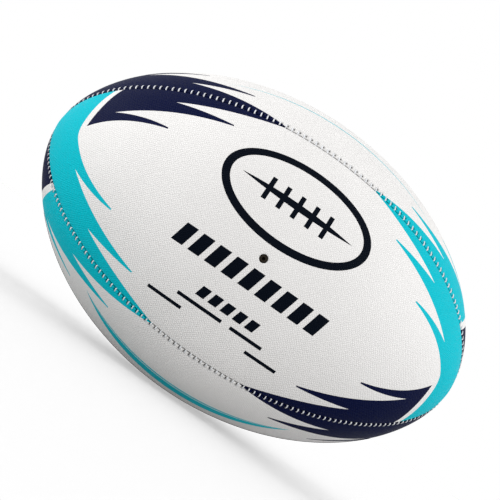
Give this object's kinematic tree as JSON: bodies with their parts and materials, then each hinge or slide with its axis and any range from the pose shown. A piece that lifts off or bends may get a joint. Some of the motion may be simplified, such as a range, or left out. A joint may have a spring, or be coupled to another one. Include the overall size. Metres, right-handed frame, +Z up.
{
  "type": "rugby ball",
  "caption": "Oval ball with pointed ends: grippy rubber-skinned panels on woven plies, stitched along the seams over an air bladder with a needle valve.",
  "frame": {"origin": "centre of the ball", "axes": "+X along the long axis from end to end, +Z up with the ball lying on its belly, -Y towards the panel with the valve"},
  "size_m": [0.26, 0.174, 0.174],
  "materials": {
    "skin_rubber": "satin, pimpled grip",
    "ply_fabric": "woven, matt",
    "patch_fabric": "woven, matt",
    "bladder_rubber": "satin",
    "valve_rubber": "satin",
    "plug_rubber": "satin",
    "seam_thread": "waxed thread"
  },
  "bodies": {
    "root": {"panel_front": "skin_rubber", "ply_outer_front": "ply_fabric", "ply_middle_front": "ply_fabric", "ply_inner_front": "ply_fabric", "panel_top": "skin_rubber", "ply_outer_top": "ply_fabric", "ply_middle_top": "ply_fabric", "ply_inner_top": "ply_fabric", "panel_rear": "skin_rubber", "ply_outer_rear": "ply_fabric", "ply_middle_rear": "ply_fabric", "ply_inner_rear": "ply_fabric", "panel_bottom": "skin_rubber", "ply_outer_bottom": "ply_fabric", "ply_middle_bottom": "ply_fabric", "ply_inner_bottom": "ply_fabric", "seam_thread_upper_front": "seam_thread", "seam_thread_upper_rear": "seam_thread", "seam_thread_lower_rear": "seam_thread", "seam_thread_lower_front": "seam_thread", "bladder": "bladder_rubber", "valve_patch": "patch_fabric", "valve_housing": "valve_rubber", "valve_plug": "plug_rubber"}
  },
  "joints": []
}
